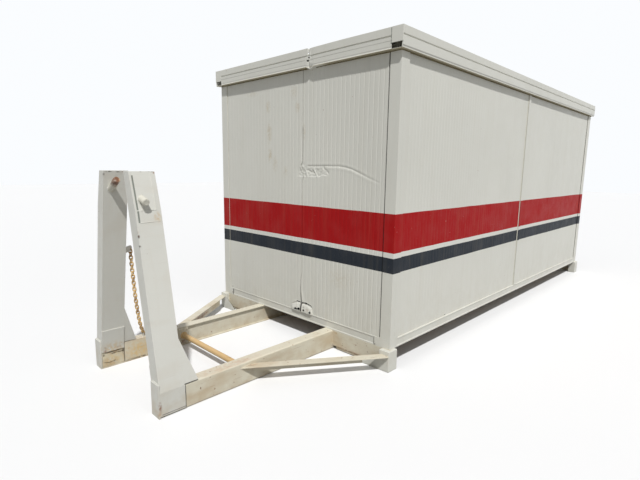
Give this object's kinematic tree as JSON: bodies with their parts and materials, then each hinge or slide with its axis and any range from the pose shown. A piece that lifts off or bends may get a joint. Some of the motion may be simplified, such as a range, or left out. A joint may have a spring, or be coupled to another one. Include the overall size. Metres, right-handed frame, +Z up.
{
  "type": "portable site cabin on hook-lift skid",
  "caption": "Windowless portable site cabin of sandwich panels on a steel skid, with a lifting frame of leaning posts in front and a plain closed door at the rear.",
  "frame": {"origin": "on the ground, under the middle of the whole length and width", "axes": "+X across the cabin, +Y along it away from the lifting frame, +Z up"},
  "size_m": [2.5, 7.162, 2.733],
  "materials": {
    "cream_paint": "satin, weathered",
    "post_paint": "satin, worn",
    "skid_paint": "worn, with rust showing through",
    "rusted_steel": "rusted",
    "roof_sheet": "matt, dusty",
    "floor_board": "sealed board",
    "door_paint": "satin",
    "handle_plastic": "matt",
    "roller_steel": "worn"
  },
  "bodies": {
    "root": {"brace_left": "skid_paint", "brace_right": "skid_paint", "chain_lugs": "post_paint", "corner_feet": "cream_paint", "corner_posts": "cream_paint", "cross_tube": "rusted_steel", "door_frame": "cream_paint", "door_handle": "handle_plastic", "door_leaf": "door_paint", "floor_beam_front": "cream_paint", "floor_beam_left": "cream_paint", "floor_beam_rear": "cream_paint", "floor_beam_right": "cream_paint", "floor_corners": "cream_paint", "floor_deck": "floor_board", "front_wall_panels": "cream_paint", "hook_bar_stub_left": "rusted_steel", "hook_bar_stub_right": "post_paint", "hook_chain": "rusted_steel", "hook_post_left": "post_paint", "hook_post_right": "post_paint", "left_wall_panels": "cream_paint", "outriggers": "skid_paint", "post_front_plates": "post_paint", "post_gussets": "post_paint", "post_inner_plates": "post_paint", "post_side_plates": "post_paint", "rail_inner_plates": "skid_paint", "rear_rollers": "roller_steel", "rear_wall_panels": "cream_paint", "rear_wall_top_panel": "cream_paint", "right_wall_panels": "cream_paint", "roller_brackets": "skid_paint", "roof_beam_front": "cream_paint", "roof_beam_left": "cream_paint", "roof_beam_rear": "cream_paint", "roof_beam_right": "cream_paint", "roof_end_caps": "cream_paint", "roof_panel": "roof_sheet", "skid_cross_members": "skid_paint", "skid_rail_left": "skid_paint", "skid_rail_right": "skid_paint", "tube_brackets": "skid_paint", "wall_joint_covers": "cream_paint"}
  },
  "joints": []
}
